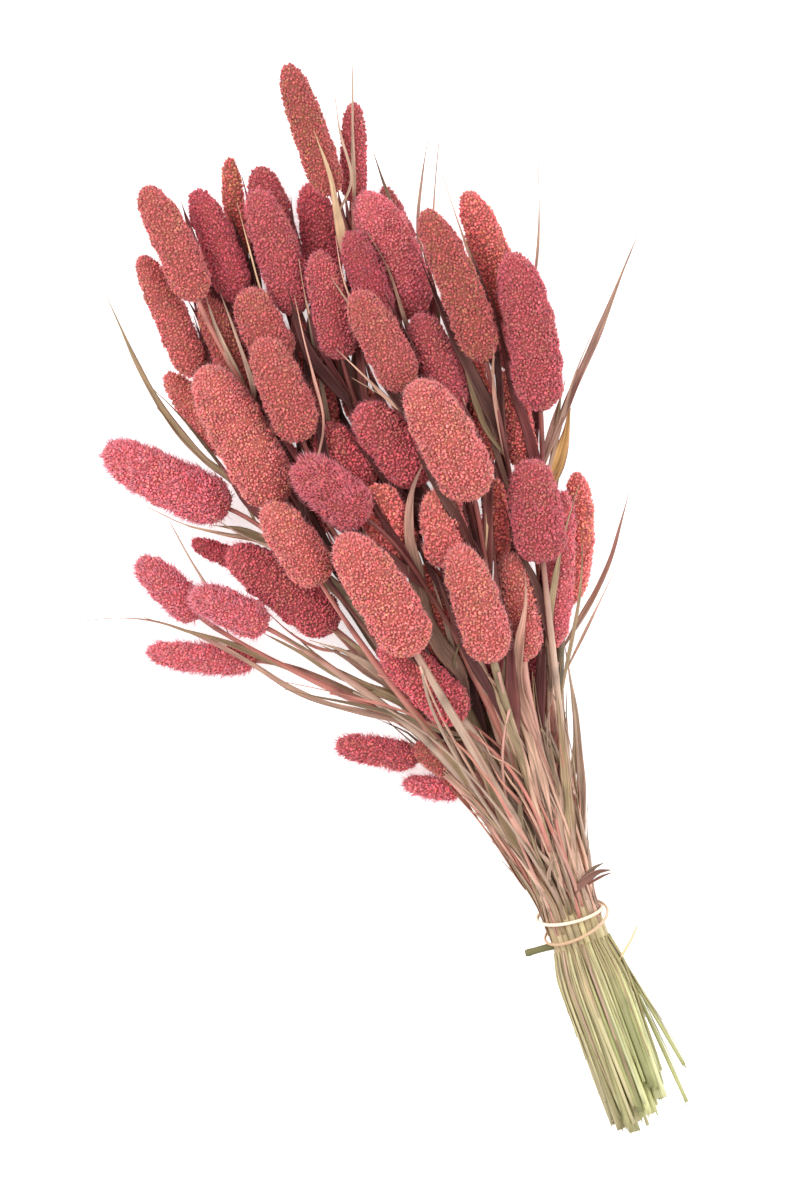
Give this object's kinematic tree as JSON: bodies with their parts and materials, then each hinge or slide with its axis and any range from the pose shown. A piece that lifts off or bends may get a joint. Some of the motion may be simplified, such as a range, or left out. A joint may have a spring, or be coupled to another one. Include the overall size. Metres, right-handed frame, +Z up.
{
  "type": "dried foxtail millet bunch",
  "caption": "Tied bunch of dried foxtail millet with bristly coral-pink heads, brown leaf blades and pale cut stems, lying on its side.",
  "frame": {"origin": "centre of the bunch's box, on the surface that it lies on", "axes": "+Y along the bunch, from the cut ends towards the heads; +Z up from the surface; +X to the right of someone who looks down on it with the heads away from them"},
  "size_m": [0.3644, 0.6126, 0.1184],
  "materials": {
    "seed_heads": "matte",
    "stems_and_leaves": "matte",
    "tie_band": "satin"
  },
  "bodies": {
    "root": {"head_01": "seed_heads", "head_02": "seed_heads", "head_03": "seed_heads", "head_04": "seed_heads", "head_05": "seed_heads", "head_06": "seed_heads", "head_07": "seed_heads", "head_08": "seed_heads", "head_09": "seed_heads", "head_10": "seed_heads", "head_11": "seed_heads", "head_12": "seed_heads", "head_13": "seed_heads", "head_14": "seed_heads", "head_15": "seed_heads", "head_16": "seed_heads", "head_17": "seed_heads", "head_18": "seed_heads", "head_19": "seed_heads", "head_20": "seed_heads", "head_21": "seed_heads", "head_22": "seed_heads", "head_23": "seed_heads", "head_24": "seed_heads", "head_25": "seed_heads", "head_26": "seed_heads", "head_27": "seed_heads", "head_28": "seed_heads", "head_29": "seed_heads", "head_30": "seed_heads", "head_31": "seed_heads", "head_32": "seed_heads", "head_33": "seed_heads", "head_34": "seed_heads", "head_35": "seed_heads", "head_36": "seed_heads", "head_37": "seed_heads", "head_38": "seed_heads", "head_39": "seed_heads", "head_40": "seed_heads", "head_41": "seed_heads", "head_42": "seed_heads", "head_43": "seed_heads", "head_44": "seed_heads", "head_45": "seed_heads", "head_46": "seed_heads", "head_47": "seed_heads", "head_48": "seed_heads", "head_49": "seed_heads", "head_50": "seed_heads", "head_51": "seed_heads", "head_52": "seed_heads", "head_53": "seed_heads", "head_54": "seed_heads", "head_55": "seed_heads", "head_56": "seed_heads", "head_57": "seed_heads", "head_58": "seed_heads", "leafy_stems": "stems_and_leaves", "tie": "tie_band"}
  },
  "joints": []
}
